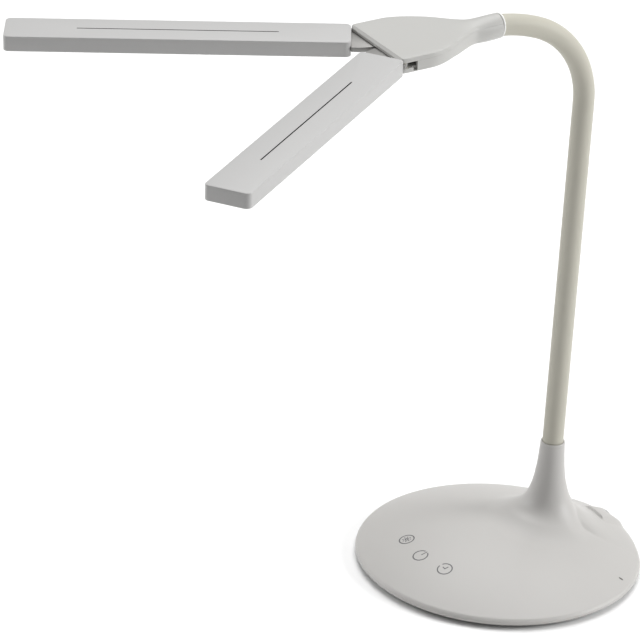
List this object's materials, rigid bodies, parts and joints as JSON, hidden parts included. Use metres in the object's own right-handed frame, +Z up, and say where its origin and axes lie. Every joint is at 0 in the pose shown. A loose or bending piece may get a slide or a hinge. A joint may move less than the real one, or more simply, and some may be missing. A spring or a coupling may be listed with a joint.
{
  "type": "folding desk lamp",
  "caption": "Desk lamp with a weighted domed base, a bendable neck and light bars that swing apart from a shared head.",
  "frame": {"origin": "centre of the round base, on the desk", "axes": "+Z up from the desk, the light bars reach out towards -Y, +X is to the right when looking along +Y"},
  "size_m": [0.2823, 0.4018, 0.3841],
  "materials": {
    "base_shell": "satin moulded white",
    "bottom_plate": "matte moulded grey white",
    "mat": "matte black foam rubber",
    "ballast": "oiled plain disc",
    "screws": "zinc plated",
    "boards": "green lacquered laminate",
    "touch_pads": "conductive foam",
    "inlet": "nickel plated shell",
    "zinc": "zinc plated",
    "ferrule": "polished white",
    "head_shell": "satin moulded white",
    "pins": "ground steel",
    "washers": "natural self-lubricating plastic",
    "neck_core": "coiled steel strip",
    "neck_sleeve": "smooth soft-touch warm white",
    "bar_housing": "satin moulded white",
    "diffuser": "translucent milky white",
    "led_boards": "white solder mask on aluminium",
    "leds": "phosphor yellow",
    "hinge_leaf": "bead-blasted grey"
  },
  "bodies": {
    "base": {"base_cover": "base_shell", "base_plate": "bottom_plate", "base_mat": "mat", "ballast_disc": "ballast", "base_screws": "screws", "touch_board": "boards", "touch_pads": "touch_pads", "power_board": "boards", "power_port": "inlet", "neck_nut": "zinc", "neck_washer": "zinc", "neck_core_0": "neck_core", "neck_sleeve_0": "neck_sleeve"},
    "neck_1": {"neck_core_1": "neck_core", "neck_sleeve_1": "neck_sleeve"},
    "neck_2": {"neck_core_2": "neck_core", "neck_sleeve_2": "neck_sleeve"},
    "neck_3": {"neck_core_3": "neck_core", "neck_sleeve_3": "neck_sleeve"},
    "neck_4": {"neck_core_4": "neck_core", "neck_sleeve_4": "neck_sleeve"},
    "neck_5": {"neck_core_5": "neck_core", "neck_sleeve_5": "neck_sleeve"},
    "head": {"neck_core_6": "neck_core", "neck_sleeve_6": "neck_sleeve", "neck_ferrule": "ferrule", "head_top": "head_shell", "head_bottom": "head_shell", "head_screws": "screws", "pin_left": "pins", "pin_right": "pins", "pivot_washers": "washers"},
    "arm_left": {"housing_left": "bar_housing", "diffuser_left": "diffuser", "led_board_left": "led_boards", "leds_left": "leds", "hinge_leaf_left": "hinge_leaf", "leaf_screws_left": "screws"},
    "arm_right": {"housing_right": "bar_housing", "diffuser_right": "diffuser", "led_board_right": "led_boards", "leds_right": "leds", "hinge_leaf_right": "hinge_leaf", "leaf_screws_right": "screws"}
  },
  "joints": [
    {"name": "neck_flex_1", "type": "hinge", "parent": "base", "child": "neck_1", "pos_m": [0, 0.0355, 0.135], "axis": [0, 1, 0], "range_deg": [-15, 15]},
    {"name": "neck_flex_2", "type": "hinge", "parent": "neck_1", "child": "neck_2", "pos_m": [0, 0.0355, 0.195], "axis": [1, 0, 0], "range_deg": [-15, 15]},
    {"name": "neck_flex_3", "type": "hinge", "parent": "neck_2", "child": "neck_3", "pos_m": [0, 0.0355, 0.255], "axis": [0, 1, 0], "range_deg": [-15, 15]},
    {"name": "neck_flex_4", "type": "hinge", "parent": "neck_3", "child": "neck_4", "pos_m": [0, 0.0355, 0.315], "axis": [1, 0, 0], "range_deg": [-15, 15]},
    {"name": "neck_flex_5", "type": "hinge", "parent": "neck_4", "child": "neck_5", "pos_m": [0, 0.02485, 0.34878], "axis": [1, 0, 0], "range_deg": [-20, 12]},
    {"name": "neck_flex_6", "type": "hinge", "parent": "neck_5", "child": "head", "pos_m": [0, -0.00326, 0.37035], "axis": [1, 0, 0], "range_deg": [-20, 12]},
    {"name": "left_hinge", "type": "hinge", "parent": "head", "child": "arm_left", "pos_m": [-0.0266, -0.11595, 0.37232], "axis": [0, 0.0471, -0.9989], "range_deg": [-30.5, 59.5]},
    {"name": "right_hinge", "type": "hinge", "parent": "head", "child": "arm_right", "pos_m": [0.0266, -0.11595, 0.37232], "axis": [0, -0.0471, 0.9989], "range_deg": [-34.5, 55.5]}
  ]
}
